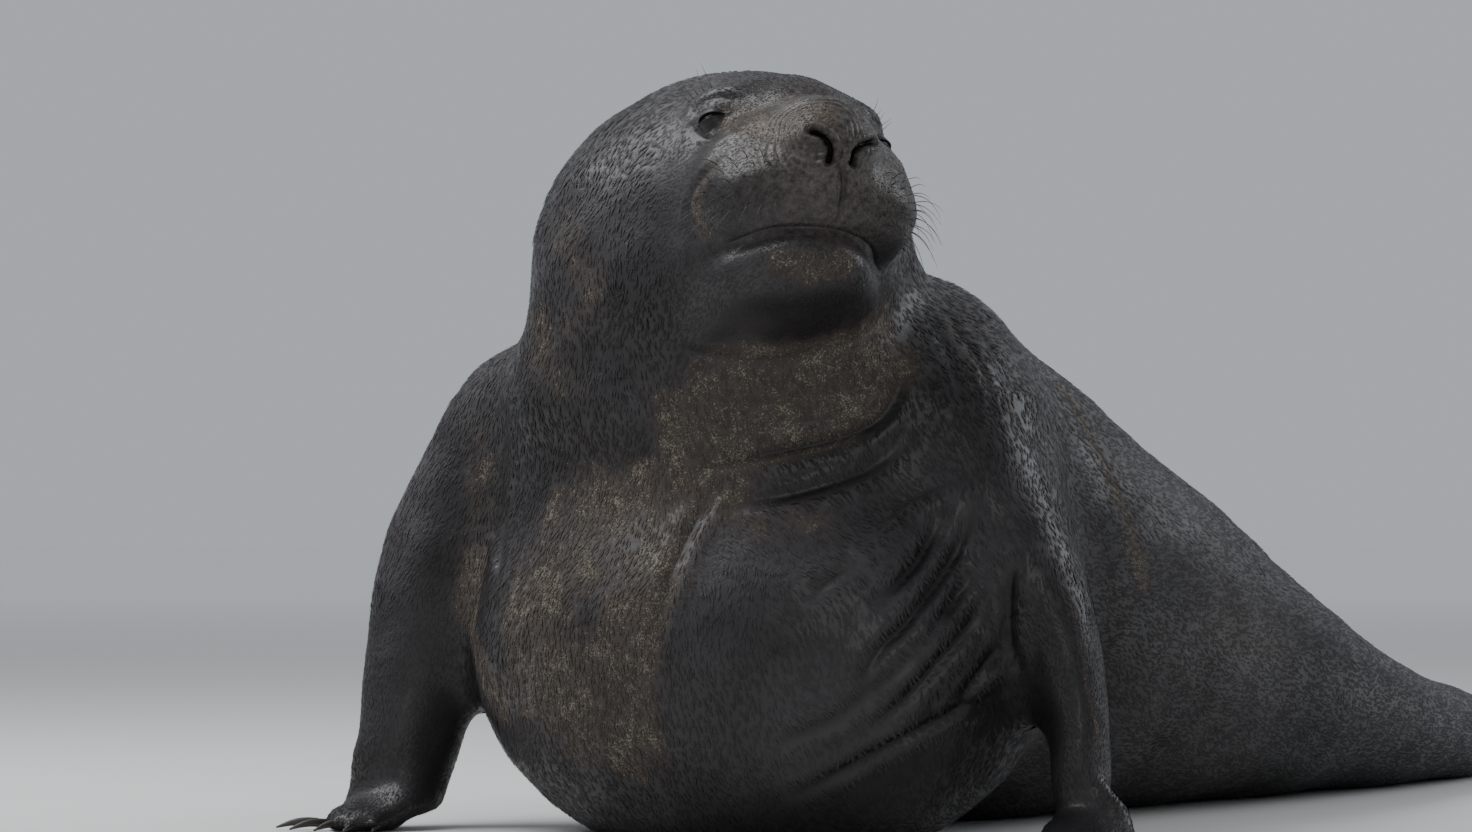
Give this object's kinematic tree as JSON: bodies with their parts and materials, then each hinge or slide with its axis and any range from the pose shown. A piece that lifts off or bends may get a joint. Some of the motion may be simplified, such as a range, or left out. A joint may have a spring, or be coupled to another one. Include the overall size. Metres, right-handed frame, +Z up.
{
  "type": "elephant seal",
  "caption": "Life-size still model of a male elephant seal reared up on its fore flippers, head raised and turned to its left, belly and hind flippers on the floor.",
  "frame": {"origin": "middle of the whole model's box, at the floor", "axes": "+Z up, -Y the way the body faces, +X the animal's left side, +Y towards the tail"},
  "size_m": [1.7658, 3.9312, 1.4827],
  "materials": {
    "skin": "dark wet skin under very short flat fur, with sand stuck to it",
    "eye": "wet, almost black"
  },
  "bodies": {
    "root": {"head": "skin", "snout": "skin", "lower_jaw": "skin", "eye_left": "eye", "eye_right": "eye", "neck": "skin", "chest": "skin", "belly": "skin", "loin": "skin", "hips": "skin", "fore_flipper_left": "skin", "fore_flipper_right": "skin", "tail": "skin", "hind_flipper_left": "skin", "hind_flipper_right": "skin"}
  },
  "joints": []
}
